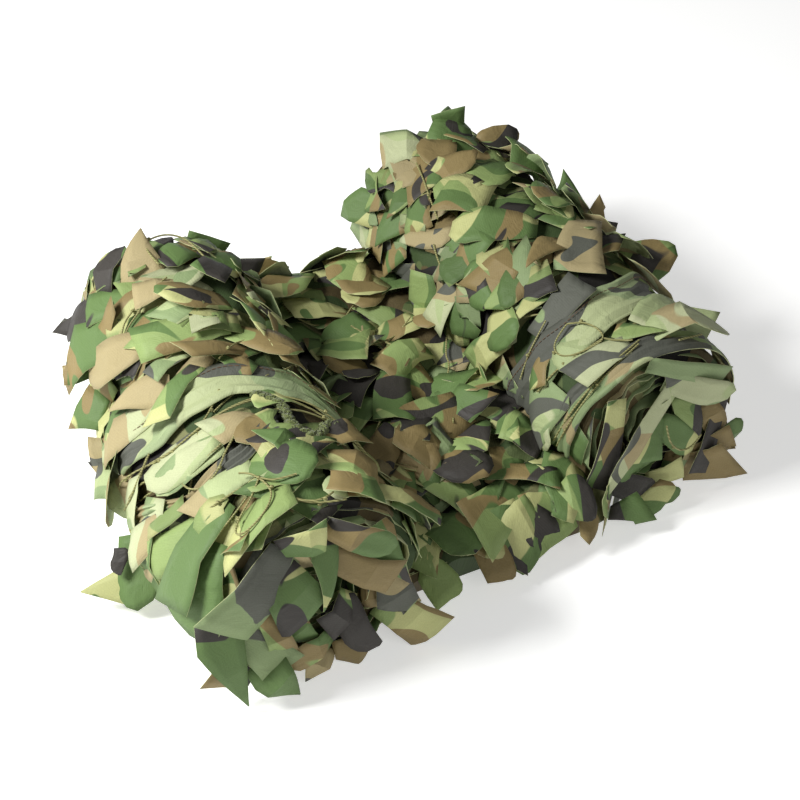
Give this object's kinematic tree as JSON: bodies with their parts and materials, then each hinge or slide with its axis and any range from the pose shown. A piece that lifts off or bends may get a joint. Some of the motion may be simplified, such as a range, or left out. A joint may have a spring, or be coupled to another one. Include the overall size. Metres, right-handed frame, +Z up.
{
  "type": "camouflage net",
  "caption": "Leafy woodland-print camouflage net rolled up from both ends into two fat parallel rolls with the folded strip between them.",
  "frame": {"origin": "the middle of the box that the rolled net fills, on the surface it lies on", "axes": "+X from the left roll to the right roll, +Y along the rolls away from their near ends, +Z up"},
  "size_m": [0.5154, 0.4565, 0.1637],
  "materials": {
    "garnish_cloth": "matt printed polyester cloth with a fine twill",
    "band_cloth_left": "pale reverse side of the printed cloth",
    "band_cloth_right": "pale reverse side of the printed cloth",
    "tie_cord": "fuzzy olive cord"
  },
  "bodies": {
    "root": {"net": "garnish_cloth", "edge_band_left": "band_cloth_left", "edge_band_right": "band_cloth_right", "tie_cord": "tie_cord"}
  },
  "joints": []
}
